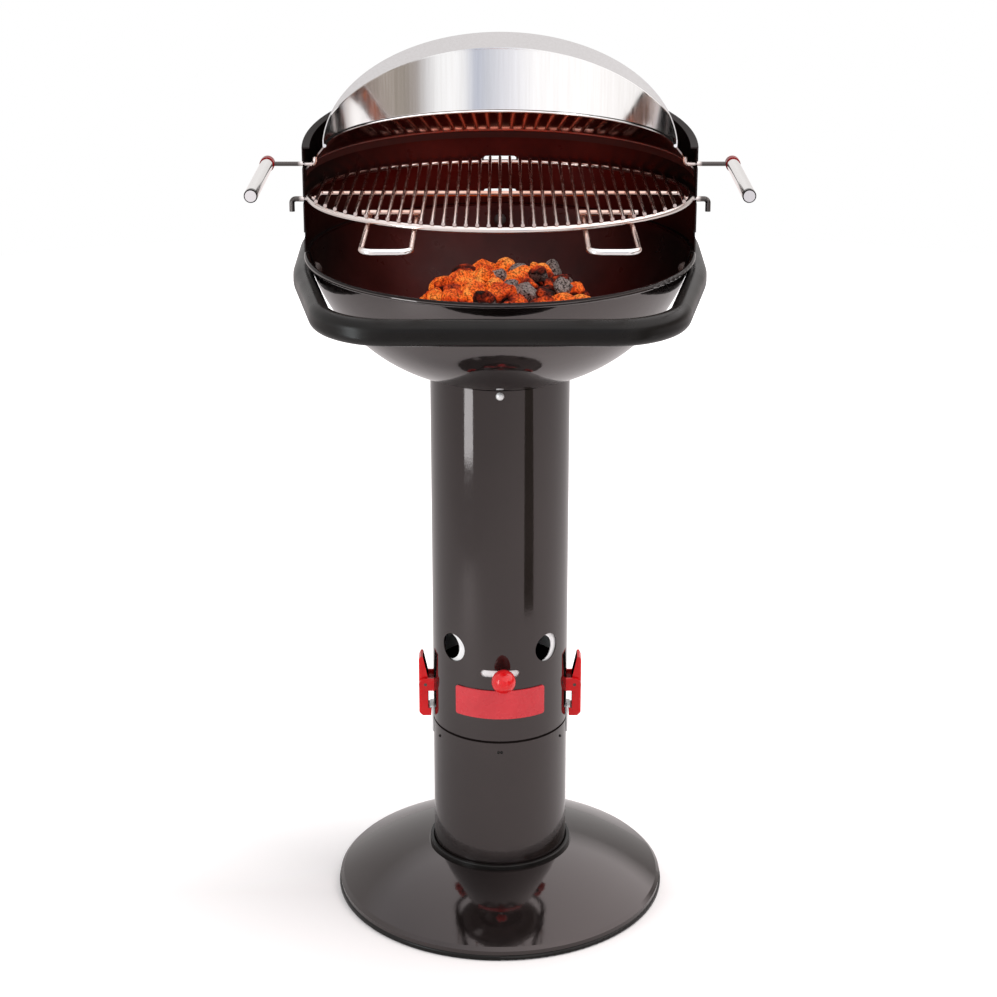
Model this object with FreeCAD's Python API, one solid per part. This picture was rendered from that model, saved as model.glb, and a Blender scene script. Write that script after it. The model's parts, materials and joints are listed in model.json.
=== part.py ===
import FreeCAD, Part
import math
import os
from FreeCAD import Vector

# Pedestal charcoal grill: round foot, ash pot, air column, fire bowl, wind screen and steel hood.
# Millimetres. +Z is up, the column's axis is the Z axis, the floor is z = 0 and the cook stands at -Y.

# General sheet and fit sizes
SHEET = 1.5
STEEL_SHEET = 1.2
REST_GAP = 0.3
WELD_GAP = 0.05
SLIP_GAP = 0.4
PIN_CLEARANCE = 0.05
HOLE_CLEARANCE = 0.15

# Foot
FOOT_R = 198.0
TRIM_H = 7.0
TRIM_W = 12.0
TRIM_ROUND = 2.5
FOOT_STEP = 1.5
FOOT_EDGE_H = 5.0
FOOT_SHOULDER = 4.0
FOOT_CROWN = 5.0
SHELF_Z = 56.0
SHELF_HOLE_R = 60.0
COLLAR_H = 6.0
COLLAR_W = 5.0
COLLAR_ROUND = 1.5

# Column: ash pot below, air tube above
COLUMN_R = 80.0
SEAM_Z = 225.0
SEAM_GAP = 0.8
NECK_LAP = 16.0
TUBE_TOP_Z = 658.0
TOP_SCREW_COUNT = 3
TOP_SCREW_DROP = 6.0
SCREW_R = 2.4
SCREW_HEAD_R = 4.6
SCREW_HEAD_H = 2.8
SCREW_REACH = 7.0

# Air holes and damper
EYE_R = 17.0
EYE_Z = 337.0
EYE_AZIMUTH = 43.3
SLOT_HALF_W = 22.7
SLOT_H = 9.0
SLOT_Z = 312.0
DAMPER_LOW_Z = 288.0
DAMPER_HIGH_Z = 366.0
DAMPER_HOLE_SHIFT = 6.5
DAMPER_REST_TURN = 2.4
STEM_R = 3.0
STEM_INSIDE = 3.0
KNOB_R = 14.0
KNOB_OUT = 20.0
KNOB_BORE_DEPTH = 9.0

# Front plate
PLATE_LOW_Z = 255.0
PLATE_HIGH_Z = 291.0
PLATE_HALF_ANGLE = 39.5
PLATE_T = 1.6
PLATE_CORNER = 3.0

# Spring latches that hold the column on the pot
PIVOT_OUT = 9.0
PIVOT_Z = 268.0
LATCH_PIN_R = 2.0
LEVER_W = 22.0
LEVER_TOP_Z = 303.0
LEVER_LOW_Z = 226.0
LEVER_INNER = 6.2
LEVER_OUTER = 17.0
LEVER_TOP_INNER = 12.0
HOOK_H = 9.5
HOOK_GAP = 0.6
EAR_T = 3.0
EAR_GAP = 0.5
EAR_HALF_H = 8.0
CATCH_LOW_Z = 204.0
CATCH_T = 1.5
CATCH_LIP = 4.6
CATCH_LIP_T = 1.8
CATCH_HALF_ANGLE = 7.0

# Fire bowl: a dished sheet whose section is one arc
BOWL_FOOT_Z = 659.0
BOWL_RIM_INSET = 4.0
BOWL_RIM_Z = 796.0
BOWL_BULGE = 25.6
RIM_BEAD_R = 3.0
BOWL_NECK_H = 20.0

# Charcoal grate and charcoal
COAL_GRATE_R = 138.0
COAL_WIRE_R = 3.0
COAL_BAR_R = 2.5
COAL_BAR_PITCH = 17.0
COAL_BAR_EDGE = 2.0
HEAP_BASE_R = 126.0
HEAP_TOP_R = 66.0
HEAP_CROWN_R = 230.0
HEAP_H = 82.0
HEAP_SHIFT_X = 9.0
LUMP = 36.0
LUMP_LAYER = 29.0
LUMP_GAP = 0.5
LUMP_TURN = 19.0
LUMP_LEAST = 5000.0

# Hoop handle round the bowl
HOOP_ROUND = 11.5
HOOP_HALF_FLAT = 3.0
HOOP_Z = 772.0
HOOP_FRONT_EXTRA = 13.8
HOOP_TAPER = 10.9
HOOP_FRONT_CORNER = 80.0
HOOP_REAR_CORNER = 135.5
RIM_BOLT_R = 3.0
RIM_BOLT_HEAD_R = 7.2
RIM_BOLT_HEAD_H = 4.5
RIM_BOLT_BITE = 10.0
SPACER_R = 7.0

# Wind screen: rear half shell standing on the bowl's rim
SCREEN_R = 218.5
SCREEN_FRONT = 12.0
SCREEN_SIDE_TOP_Z = 919.5
SCREEN_TOP_SLOPE = 0.144
SCREEN_FLANGE_W = 8.5
TAB_HALF_ANGLE = 3.2
TAB_LOW_Z = 771.0
NOTCH_H = 8.0
NOTCH_BACK = 4.0
LEVEL_PITCH = 40.0
REAR_SLOT_HALF_W = 19.5
REAR_SLOT_H = 6.0
BACK_HALF_ANGLE = 10.5
BACK_TOP_Z = 876.0

# Steel hood inside the screen, and the skirt that carries it
HOOD_INSET = 22.5
HOOD_LOW_Z = 916.0
HOOD_SIDE_TOP_Z = 921.0
HOOD_TOP_SLOPE = 0.447
HOOD_END_Y = 3.0
HOOD_BEAD_R = 2.0
LIP_ARC_EXTRA = 13.0
LIP_ARC_Y = -42.0
SKIRT_LOW_Z = 888.0
SKIRT_FLANGE_H = 8.0
SKIRT_END_Y = 9.0

# Cooking grate, hung in the screen's notches with its front a little raised
GRATE_INSET = 6.5
GRATE_Z = 863.0
GRATE_TILT = 3.2
GRATE_WIRE_R = 3.0
GRATE_BAR_R = 2.0
GRATE_BAR_PITCH = 11.7
GRATE_BAR_EDGE = 10.0
GRATE_BAR_OVERHANG = 1.0
CROSS_WIRE_EDGE = 14.0
CROSS_WIRE_DROP_RUN = 8.0
HOOK_OUT = 13.0
HOOK_DROP = 14.0
WIRE_BEND = 4.5
LOOP_INNER_X = 89.0
LOOP_OUTER_X = 139.0
LOOP_BACK_Y = -80.0
LOOP_REACH = 81.0
LOOP_BEND = 14.0
SHORT_WIRE_Y = -115.0
SHORT_WIRE_OVER = 8.0

# Side handles: a rod hooked through the screen, with a long grip at right angles
ROD_R = 2.5
ROD_TIP_IN = 12.3
ROD_TIP_H = 8.0
ROD_BEND = 3.5
GRIP_OUT = 39.0
GRIP_R = 7.2
GRIP_L = 180.0
GRIP_CHAMFER = 1.2
GRIP_TILT = 2.5
GRIP_COLLAR_R = 8.2
GRIP_COLLAR_L = 14.0
GRIP_COLLAR_BACK = 7.0
ROD_BITE = 4.0

# Sizes that follow from the ones above
BOWL_RIM_R = SCREEN_R - BOWL_RIM_INSET
HOOD_R = SCREEN_R - HOOD_INSET
LIP_ARC_R = HOOD_R + LIP_ARC_EXTRA
GRATE_R = SCREEN_R - GRATE_INSET
CROSS_WIRE_STRAIGHT = GRATE_R - CROSS_WIRE_EDGE
LOOP_FRONT_Y = -(GRATE_R + LOOP_REACH)
COLUMN_IN = COLUMN_R - SHEET
NECK_OUT = COLUMN_IN - SLIP_GAP
NECK_IN = NECK_OUT - SHEET
UP = Vector(0, 0, 1)
ORIGIN = Vector(0, 0, 0)
FRONT = -90.0
CUT_OVER = 10.0
BIG = 2000.0


def save(shape, node):
    """Write one named piece, cleaned of leftover seams."""
    if not shape.isValid():
        shape.fix(0.001, 0.001, 0.01)
    shape.exportStep("parts/" + node + ".step")


def point(r, z):
    return Vector(r, 0, z)


def outline(start, *steps):
    """Closed outline in the r-z plane: a step is an (r, z) end, or a pair of via and end for an arc."""
    edges = []
    here = point(*start)
    for step in steps:
        if isinstance(step[0], tuple):
            end = point(*step[1])
            edges.append(Part.Arc(here, point(*step[0]), end).toShape())
        else:
            end = point(*step)
            edges.append(Part.LineSegment(here, end).toShape())
        here = end
    if here.distanceToPoint(point(*start)) > 1e-6:
        edges.append(Part.LineSegment(here, point(*start)).toShape())
    return Part.Face(Part.Wire(edges))


def spin(face, start=0.0, turn=360.0):
    """Revolve an r-z outline about the column's axis, from one azimuth through a turn."""
    solid = face.revolve(ORIGIN, UP, turn)
    return solid.rotate(ORIGIN, UP, start)


def ring(r_in, r_out, z_low, z_high, start=0.0, turn=360.0):
    face = outline((r_in, z_low), (r_out, z_low), (r_out, z_high), (r_in, z_high))
    return spin(face, start, turn)


def torus(r, z, wire_r):
    return Part.makeTorus(r, wire_r, point(0, z))


def rod(start, end, radius):
    way = end - start
    return Part.makeCylinder(radius, way.Length, start, way)


def aim(shape, place, direction):
    """Stand a shape that was built along +Z at a place, along a direction."""
    shape.Placement = FreeCAD.Placement(place, FreeCAD.Rotation(UP, direction))
    return shape


def bent_path(points, bend):
    """Straight runs joined by tangent arcs of one radius."""
    edges = []
    here = points[0]
    for corner, after in zip(points[1:-1], points[2:]):
        inward = (here - corner).normalize()
        onward = (after - corner).normalize()
        half = inward.getAngle(onward) / 2
        back = bend / math.tan(half)
        start = corner + inward * back
        end = corner + onward * back
        middle_way = (inward + onward).normalize()
        middle = corner + middle_way * (bend / math.sin(half) - bend)
        edges.append(Part.LineSegment(here, start).toShape())
        edges.append(Part.Arc(start, middle, end).toShape())
        here = end
    edges.append(Part.LineSegment(here, points[-1]).toShape())
    return Part.Wire(edges)


def bent_wire(points, radius, bend):
    path = bent_path(points, bend)
    section = Part.Wire(Part.Circle(points[0], points[1] - points[0], radius).toShape())
    return path.makePipeShell([section], True, False)


def dome_screw(head_r, head_h, shank_r, shank_l):
    """Domed head above z = 0 and a shank below it, along +Z."""
    ball_r = (head_r ** 2 + head_h ** 2) / (2 * head_h)
    ball = Part.makeSphere(ball_r, point(0, head_h - ball_r))
    head = ball.common(Part.makeCylinder(head_r * 2, head_h * 2))
    shank = Part.makeCylinder(shank_r, shank_l, point(0, -shank_l))
    return head.fuse(shank)


def radial(azimuth):
    angle = math.radians(azimuth)
    return Vector(math.cos(angle), math.sin(angle), 0)


def circle_through(a, b, c):
    """Centre and radius of the circle through three r-z points."""
    curve = Part.Circle(point(*a), point(*b), point(*c))
    return curve.Center.x, curve.Center.z, curve.Radius


def bulged_middle(start, end, bulge):
    """Middle of an arc between two r-z points that bulges outwards and down from its chord."""
    chord = math.hypot(end[0] - start[0], end[1] - start[1])
    out = (end[1] - start[1]) / chord * bulge
    down = (end[0] - start[0]) / chord * bulge
    return (start[0] + end[0]) / 2 + out, (start[1] + end[1]) / 2 - down


BOWL_FOOT = (COLUMN_R, BOWL_FOOT_Z)
BOWL_RIM = (BOWL_RIM_R, BOWL_RIM_Z)
BOWL_CR, BOWL_CZ, BOWL_ARC = circle_through(BOWL_FOOT, bulged_middle(BOWL_FOOT, BOWL_RIM, BOWL_BULGE), BOWL_RIM)


def arc_point(radius, r=None, z=None):
    """Point of the circle about the bowl arc's centre, on its lower outer side, at an r or at a z."""
    if r is not None:
        return r, BOWL_CZ - math.sqrt(radius ** 2 - (r - BOWL_CR) ** 2)
    return BOWL_CR + math.sqrt(radius ** 2 - (z - BOWL_CZ) ** 2), z


def arc_strip(outer, inner, low, high):
    """Outline between two circles about the bowl arc's centre, from one r-z direction to another."""
    def at(radius, way, share):
        angle = way[0] + (way[1] - way[0]) * share
        return BOWL_CR + radius * math.cos(angle), BOWL_CZ + radius * math.sin(angle)
    angles = [math.atan2(p[1] - BOWL_CZ, p[0] - BOWL_CR) for p in (low, high)]
    return outline(at(outer, angles, 0), (at(outer, angles, 0.5), at(outer, angles, 1)),
                   at(inner, angles, 1), (at(inner, angles, 0.5), at(inner, angles, 0)))


# Heights that hang together
BOWL_IN = BOWL_ARC - SHEET
RIM_WAY = math.atan2(BOWL_RIM_Z - BOWL_CZ, BOWL_RIM_R - BOWL_CR)
BEAD_C_R = BOWL_CR + (BOWL_IN + RIM_BEAD_R) * math.cos(RIM_WAY)
BEAD_C_Z = BOWL_CZ + (BOWL_IN + RIM_BEAD_R) * math.sin(RIM_WAY)
SCREEN_LOW_Z = BEAD_C_Z + RIM_BEAD_R + REST_GAP
HOOP_LEAN = (BOWL_CZ - HOOP_Z) / (BOWL_ARC + HOOP_ROUND)
HOOP_STAND_OFF = HOOP_ROUND + HOOP_HALF_FLAT * HOOP_LEAN + REST_GAP
HOOP_SIDE = BOWL_CR + math.sqrt((BOWL_ARC + HOOP_STAND_OFF) ** 2 - (HOOP_Z - BOWL_CZ) ** 2)
HOOP_FRONT = HOOP_SIDE + HOOP_FRONT_EXTRA
CROSS_WIRE_LOW = -(2 * GRATE_WIRE_R + WELD_GAP)
HOOK_Z = GRATE_Z + CROSS_WIRE_LOW
ROD_Z = HOOK_Z + LEVEL_PITCH + ROD_R - GRATE_WIRE_R
NOTCH_FLOORS = [HOOK_Z - GRATE_WIRE_R - REST_GAP + LEVEL_PITCH * level for level in (-1, 0, 1)]
REAR_SLOT_Z = GRATE_Z - GRATE_R * math.sin(math.radians(GRATE_TILT)) + GRATE_WIRE_R


def build_foot():
    edge_r = FOOT_R - FOOT_STEP
    edge_top = TRIM_H + FOOT_EDGE_H
    shoulder = (edge_r - FOOT_SHOULDER, edge_top + FOOT_SHOULDER)
    shelf_r = COLUMN_R + SLIP_GAP + COLLAR_W + 2
    middle = ((shoulder[0] + shelf_r) / 2, (shoulder[1] + SHELF_Z) / 2 + FOOT_CROWN)
    cone = outline(
        (edge_r, TRIM_H), (edge_r, edge_top), shoulder, (middle, (shelf_r, SHELF_Z)),
        (SHELF_HOLE_R, SHELF_Z), (SHELF_HOLE_R, SHELF_Z - SHEET), (shelf_r - SHEET, SHELF_Z - SHEET),
        ((middle[0] - SHEET / 2, middle[1] - SHEET), (shoulder[0] - SHEET, shoulder[1] - SHEET / 2)),
        (edge_r - SHEET, edge_top - SHEET / 2), (edge_r - SHEET, TRIM_H))
    save(spin(cone), "base_cone")

    trim = ring(FOOT_R - TRIM_W, FOOT_R, 0, TRIM_H)
    outer_edges = [e for e in trim.Edges if isinstance(e.Curve, Part.Circle) and e.Curve.Radius > FOOT_R - 1]
    save(trim.makeFillet(TRIM_ROUND, outer_edges), "base_rim_trim")

    inner = COLUMN_R + SLIP_GAP
    collar = ring(inner, inner + COLLAR_W, SHELF_Z, SHELF_Z + COLLAR_H)
    top = [e for e in collar.Edges if isinstance(e.Curve, Part.Circle) and e.Curve.Center.z > SHELF_Z + 1]
    save(collar.makeFillet(COLLAR_ROUND, top), "column_collar")


def build_pot():
    shoulder_z = SEAM_Z - SEAM_GAP / 2
    wall = outline(
        (0, SHELF_Z), (COLUMN_R, SHELF_Z), (COLUMN_R, shoulder_z), (NECK_OUT, shoulder_z),
        (NECK_OUT, shoulder_z + NECK_LAP), (NECK_IN, shoulder_z + NECK_LAP), (NECK_IN, shoulder_z - SHEET),
        (COLUMN_IN, shoulder_z - SHEET), (COLUMN_IN, SHELF_Z + SHEET), (0, SHELF_Z + SHEET))
    save(spin(wall), "ash_pot")


def top_screw_azimuths():
    return [FRONT + 360.0 * i / TOP_SCREW_COUNT for i in range(TOP_SCREW_COUNT)]


def screw_hole(azimuth, z, radius):
    way = radial(azimuth)
    return rod(way * (COLUMN_R - 2 * SCREW_REACH) + UP * z, way * (COLUMN_R + SCREW_HEAD_H) + UP * z, radius)


def eye_cut(azimuth, radius):
    way = radial(azimuth)
    return rod(way * (COLUMN_R / 2) + UP * EYE_Z, way * (COLUMN_R + CUT_OVER) + UP * EYE_Z, radius)


def damper_slot_cut():
    half = SLOT_HALF_W - SLOT_H / 2
    low = SLOT_Z - SLOT_H / 2
    depth = COLUMN_R / 2
    front = -COLUMN_R - CUT_OVER
    cut = Part.makeBox(2 * half, depth, SLOT_H, Vector(-half, front, low))
    for side in (-1, 1):
        end = Vector(side * half, front, SLOT_Z)
        cut = cut.fuse(Part.makeCylinder(SLOT_H / 2, depth, end, Vector(0, 1, 0)))
    return cut


def build_tube():
    screw_z = TUBE_TOP_Z - TOP_SCREW_DROP
    tube = ring(COLUMN_IN, COLUMN_R, SEAM_Z + SEAM_GAP / 2, TUBE_TOP_Z)
    for side in (-1, 1):
        tube = tube.cut(eye_cut(FRONT + side * EYE_AZIMUTH, EYE_R))
    tube = tube.cut(damper_slot_cut())
    screws = []
    for azimuth in top_screw_azimuths():
        tube = tube.cut(screw_hole(azimuth, screw_z, SCREW_R + HOLE_CLEARANCE))
        screw = dome_screw(SCREW_HEAD_R, SCREW_HEAD_H, SCREW_R, SCREW_REACH)
        screws.append(aim(screw, radial(azimuth) * (COLUMN_R + WELD_GAP) + UP * screw_z, radial(azimuth)))
    save(tube, "column_tube")
    save(Part.makeCompound(screws), "column_screws")


def build_damper():
    ring_out = COLUMN_IN - SLIP_GAP
    turn = FRONT + DAMPER_REST_TURN
    way = radial(turn)
    damper = ring(ring_out - STEEL_SHEET, ring_out, DAMPER_LOW_Z, DAMPER_HIGH_Z)
    for side in (-1, 1):
        damper = damper.cut(eye_cut(FRONT + side * EYE_AZIMUTH - DAMPER_HOLE_SHIFT, EYE_R))
    inner_end = way * (ring_out - STEM_INSIDE) + UP * SLOT_Z
    centre = way * (COLUMN_R + KNOB_OUT) + UP * SLOT_Z
    outer_end = centre - way * (KNOB_R - KNOB_BORE_DEPTH)
    damper = damper.cut(rod(way * COLUMN_R / 2 + UP * SLOT_Z, centre, STEM_R + WELD_GAP))
    knob = Part.makeSphere(KNOB_R, centre)
    knob = knob.cut(rod(way * (COLUMN_R / 2) + UP * SLOT_Z, outer_end + way * WELD_GAP, STEM_R + WELD_GAP))
    save(damper, "damper_ring")
    save(rod(inner_end, outer_end, STEM_R), "damper_stem")
    save(knob, "damper_knob")


def build_plate():
    inner = COLUMN_R + WELD_GAP
    plate = ring(inner, inner + PLATE_T, PLATE_LOW_Z, PLATE_HIGH_Z, FRONT - PLATE_HALF_ANGLE, 2 * PLATE_HALF_ANGLE)
    corners = [e for e in plate.Edges if abs(e.Length - PLATE_T) < 0.01]
    save(plate.makeFillet(PLATE_CORNER, corners), "front_plate")


def turned(shape, azimuth):
    copy = shape.copy()
    return copy.rotate(ORIGIN, UP, azimuth)


def build_latches():
    """One latch is built on the +X side of the column, and turned for the other side."""
    pivot = Vector(COLUMN_R + PIVOT_OUT, 0, PIVOT_Z)
    inner = COLUMN_R + LEVER_INNER
    outer = COLUMN_R + LEVER_OUTER
    hook_in = COLUMN_R + SLIP_GAP + CATCH_T + HOOK_GAP
    hook_top = LEVER_LOW_Z + HOOK_H
    bevel = LEVER_W / 5
    side = outline(
        (hook_in, LEVER_LOW_Z), (outer - bevel, LEVER_LOW_Z), (outer, LEVER_LOW_Z + bevel),
        (outer, LEVER_TOP_Z - bevel), (outer - bevel / 2, LEVER_TOP_Z), (COLUMN_R + LEVER_TOP_INNER, LEVER_TOP_Z),
        (inner, PIVOT_Z + EAR_HALF_H), (inner, hook_top), (hook_in, hook_top))
    lever = side.extrude(Vector(0, LEVER_W, 0))
    lever.translate(Vector(0, -LEVER_W / 2, 0))
    long_edges = [e for e in lever.Edges if e.Length > LEVER_W * 1.5 and e.BoundBox.XMax > outer - 1]
    lever = lever.makeFillet(bevel / 2, long_edges)
    across = Vector(0, LEVER_W / 2 + EAR_GAP + EAR_T, 0)
    lever = lever.cut(rod(pivot - across, pivot + across, LATCH_PIN_R + PIN_CLEARANCE))

    ears = []
    tube = Part.makeCylinder(COLUMN_R + WELD_GAP, BIG)
    for way in (-1, 1):
        low_y = LEVER_W / 2 + EAR_GAP if way > 0 else -LEVER_W / 2 - EAR_GAP - EAR_T
        block = Part.makeBox(PIVOT_OUT + COLUMN_R / 2, EAR_T, 2 * EAR_HALF_H,
                             Vector(COLUMN_R / 2, low_y, PIVOT_Z - EAR_HALF_H))
        nose = Part.makeCylinder(EAR_HALF_H, EAR_T, Vector(pivot.x, low_y, PIVOT_Z), Vector(0, 1, 0))
        ear = block.fuse(nose).removeSplitter().cut(tube)
        ears.append(ear.cut(rod(pivot - across * 2, pivot + across * 2, LATCH_PIN_R + WELD_GAP / 2)))

    strip_in = COLUMN_R + SLIP_GAP / 2
    strip_out = strip_in + CATCH_T
    lip_low = hook_top + HOOK_GAP
    catch = spin(outline(
        (strip_in, CATCH_LOW_Z), (strip_out, CATCH_LOW_Z), (strip_out, lip_low), (COLUMN_R + CATCH_LIP, lip_low),
        (COLUMN_R + CATCH_LIP, lip_low + CATCH_LIP_T), (strip_in, lip_low + CATCH_LIP_T)),
        -CATCH_HALF_ANGLE, 2 * CATCH_HALF_ANGLE)

    pin = rod(pivot - across, pivot + across, LATCH_PIN_R)
    for name, azimuth in (("right", 0.0), ("left", 180.0)):
        save(turned(lever, azimuth), "latch_lever_" + name)
        save(turned(Part.makeCompound(ears), azimuth), "latch_ears_" + name)
        save(turned(pin, azimuth), "latch_pin_" + name)
        save(turned(catch, azimuth), "latch_catch_" + name)


def rim_fixings():
    """Azimuth and hoop distance of each bolt that holds screen, bowl and hoop together."""
    return [(0.0, HOOP_SIDE), (90.0, HOOP_FRONT), (180.0, HOOP_SIDE)]


def fixing_way(hoop_r):
    """Start and direction, in the r-z plane, of a bolt square to the bowl's wall and aimed at the hoop."""
    start = point(BOWL_CR, BOWL_CZ)
    return start, (point(hoop_r, HOOP_Z) - start).normalize()


def fixing_hole(azimuth, hoop_r, radius):
    start, way = fixing_way(hoop_r)
    hole = rod(start + way * (BOWL_IN - 2 * RIM_BOLT_BITE), start + way * (BOWL_ARC + RIM_BOLT_BITE), radius)
    return turned(hole, azimuth)


def build_bowl():
    start = arc_point(BOWL_ARC, r=NECK_IN)
    shell = spin(arc_strip(BOWL_ARC, BOWL_IN, start, BOWL_RIM))
    bowl = shell.fuse(torus(BEAD_C_R, BEAD_C_Z, RIM_BEAD_R)).removeSplitter()
    for azimuth, hoop_r in rim_fixings():
        bowl = bowl.cut(fixing_hole(azimuth, hoop_r, RIM_BOLT_R + HOLE_CLEARANCE))
    save(bowl, "bowl")

    neck = ring(NECK_IN, NECK_OUT, TUBE_TOP_Z - BOWL_NECK_H, start[1] - WELD_GAP)
    for azimuth in top_screw_azimuths():
        neck = neck.cut(screw_hole(azimuth, TUBE_TOP_Z - TOP_SCREW_DROP, SCREW_R + HOLE_CLEARANCE))
    save(neck, "bowl_neck")


def chord_bars(count, pitch, ring_r, z, bar_r):
    """Parallel bars along Y, each as long as the ring is there."""
    bars = []
    for i in range(count):
        x = (i - (count - 1) / 2) * pitch
        half = math.sqrt(ring_r ** 2 - x ** 2)
        bars.append(rod(Vector(x, -half, z), Vector(x, half, z), bar_r))
    return bars


def coal_grate_z():
    return arc_point(BOWL_IN - COAL_WIRE_R - REST_GAP, r=COAL_GRATE_R)[1]


def build_coal_grate():
    z = coal_grate_z()
    reach = COAL_GRATE_R - COAL_BAR_EDGE
    each_side = round(reach / COAL_BAR_PITCH)
    bar_z = z + COAL_WIRE_R + COAL_BAR_R + WELD_GAP
    save(torus(COAL_GRATE_R, z, COAL_WIRE_R), "coal_grate_ring")
    bars = chord_bars(2 * each_side + 1, reach / each_side, COAL_GRATE_R, bar_z, COAL_BAR_R)
    save(Part.makeCompound(bars), "coal_grate_bars")


def build_coals():
    """A domed heap cut into close-fitting angular lumps."""
    base = coal_grate_z() + COAL_WIRE_R + 2 * COAL_BAR_R + WELD_GAP + REST_GAP
    crown = Part.makeSphere(HEAP_CROWN_R, point(0, base + HEAP_H - HEAP_CROWN_R))
    heap = Part.makeCone(HEAP_BASE_R, HEAP_TOP_R, HEAP_H, point(0, base)).common(crown)
    span = int(HEAP_BASE_R / LUMP) + 1
    lumps = []
    for layer in range(int(HEAP_H / LUMP_LAYER) + 1):
        turn = LUMP_TURN * (2 * layer + 1)
        for row in range(-span, span + 1):
            for column in range(-span, span + 1):
                shift = LUMP / 2 * (row % 2)
                low = Vector(column * LUMP + shift, row * LUMP, base + layer * LUMP_LAYER)
                cell = Part.makeBox(LUMP - LUMP_GAP, LUMP - LUMP_GAP, LUMP_LAYER - LUMP_GAP, low)
                cell.rotate(ORIGIN, UP, turn)
                lump = heap.common(cell)
                if lump.Volume > LUMP_LEAST:
                    lumps.extend(lump.Solids)
    heap_of_lumps = Part.makeCompound(lumps)
    heap_of_lumps.translate(Vector(HEAP_SHIFT_X, 0, 0))
    save(heap_of_lumps, "charcoal")


def hoop_section(distance):
    """Upright round-ended section in the r-z plane, at a distance from the axis that it is bent about."""
    inner = distance - HOOP_ROUND
    outer = distance + HOOP_ROUND
    end = HOOP_HALF_FLAT + HOOP_ROUND
    return outline((outer, -HOOP_HALF_FLAT), (outer, HOOP_HALF_FLAT), ((distance, end), (inner, HOOP_HALF_FLAT)),
                   (inner, -HOOP_HALF_FLAT), ((distance, -end), (outer, -HOOP_HALF_FLAT)))


def hoop_depth(way):
    """Distance from the hoop's centreline to its surface, along a direction in the r-z plane."""
    return abs(way.z) * HOOP_HALF_FLAT + math.sqrt(HOOP_ROUND ** 2 - (way.x * HOOP_HALF_FLAT) ** 2)


def hoop_run(start, end):
    """Straight stretch of the hoop between two points of its centreline."""
    way = end - start
    stretch = hoop_section(0).extrude(Vector(0, way.Length, 0))
    stretch.rotate(ORIGIN, UP, math.degrees(math.atan2(way.y, way.x)) - 90)
    stretch.translate(start + UP * HOOP_Z)
    return stretch


def hoop_bend(centre, radius, start, turn):
    """Bent stretch of the hoop about an upright axis, from one azimuth through a turn."""
    bend = spin(hoop_section(radius), start, turn)
    bend.translate(centre + UP * HOOP_Z)
    return bend


def hoop_solid():
    """Round-ended tube that hugs the bowl's sides and tapers to a straight front bar."""
    lean = radial(-HOOP_TAPER)
    front_y = HOOP_FRONT_CORNER - HOOP_FRONT
    front_x = (HOOP_SIDE - HOOP_FRONT_CORNER - lean.y * front_y) / lean.x
    front_bend = Vector(front_x, front_y, 0)
    rear_bend = Vector(HOOP_SIDE - HOOP_REAR_CORNER, HOOP_FRONT - HOOP_REAR_CORNER, 0)
    half = [
        hoop_run(Vector(0, -HOOP_FRONT, 0), Vector(front_x, -HOOP_FRONT, 0)),
        hoop_bend(front_bend, HOOP_FRONT_CORNER, FRONT, 90 - HOOP_TAPER),
        hoop_run(front_bend + lean * HOOP_FRONT_CORNER, lean * HOOP_SIDE),
        hoop_bend(ORIGIN, HOOP_SIDE, -HOOP_TAPER, HOOP_TAPER),
        hoop_run(Vector(HOOP_SIDE, 0, 0), Vector(HOOP_SIDE, rear_bend.y, 0)),
        hoop_bend(rear_bend, HOOP_REAR_CORNER, 0, 90),
        hoop_run(Vector(rear_bend.x, HOOP_FRONT, 0), Vector(0, HOOP_FRONT, 0))]
    pieces = half + [piece.mirror(ORIGIN, Vector(1, 0, 0)) for piece in half]
    return pieces[0].fuse(pieces[1:]).removeSplitter()


def build_hoop():
    hoop = hoop_solid()
    bolts = []
    seat = BOWL_IN - SHEET - 2 * REST_GAP
    for azimuth, hoop_r in rim_fixings():
        start, way = fixing_way(hoop_r)
        surface = (point(hoop_r, HOOP_Z) - start).Length - hoop_depth(way)
        tip = surface + RIM_BOLT_BITE
        hole = rod(start + way * seat, start + way * (tip + WELD_GAP), RIM_BOLT_R + WELD_GAP)
        hoop = hoop.cut(turned(hole, azimuth))
        bolt = dome_screw(RIM_BOLT_HEAD_R, RIM_BOLT_HEAD_H, RIM_BOLT_R, tip - seat)
        bolts.append(turned(aim(bolt, start + way * seat, way * -1), azimuth))
    save(hoop, "hoop_handle")
    save(Part.makeCompound(bolts), "rim_bolts")

    start, way = fixing_way(HOOP_FRONT)
    surface = (point(HOOP_FRONT, HOOP_Z) - start).Length - hoop_depth(way)
    spacer = rod(start + way * (BOWL_ARC + REST_GAP), start + way * (surface + SPACER_R), SPACER_R)
    spacer = spacer.cut(rod(start, point(HOOP_FRONT, HOOP_Z), RIM_BOLT_R + HOLE_CLEARANCE))
    save(turned(spacer, 90.0).cut(hoop_solid()), "hoop_spacer")


def below_slope(side_z, slope):
    """Everything under the plane that passes the sides at one height and rises to the rear."""
    half = BIG / 2
    corners = [Vector(0, -half, 0), Vector(0, half, 0), Vector(0, half, side_z + slope * half),
               Vector(0, -half, side_z - slope * half)]
    low = min(c.z for c in corners)
    corners[0].z = low - 1
    corners[1].z = low - 1
    face = Part.Face(Part.makePolygon(corners + [corners[0]]))
    face.translate(Vector(-half, 0, 0))
    return face.extrude(Vector(BIG, 0, 0))


def behind(y):
    """Everything further back than one y."""
    return Part.makeBox(BIG, BIG, BIG, Vector(-BIG / 2, y, -BIG / 4))


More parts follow.
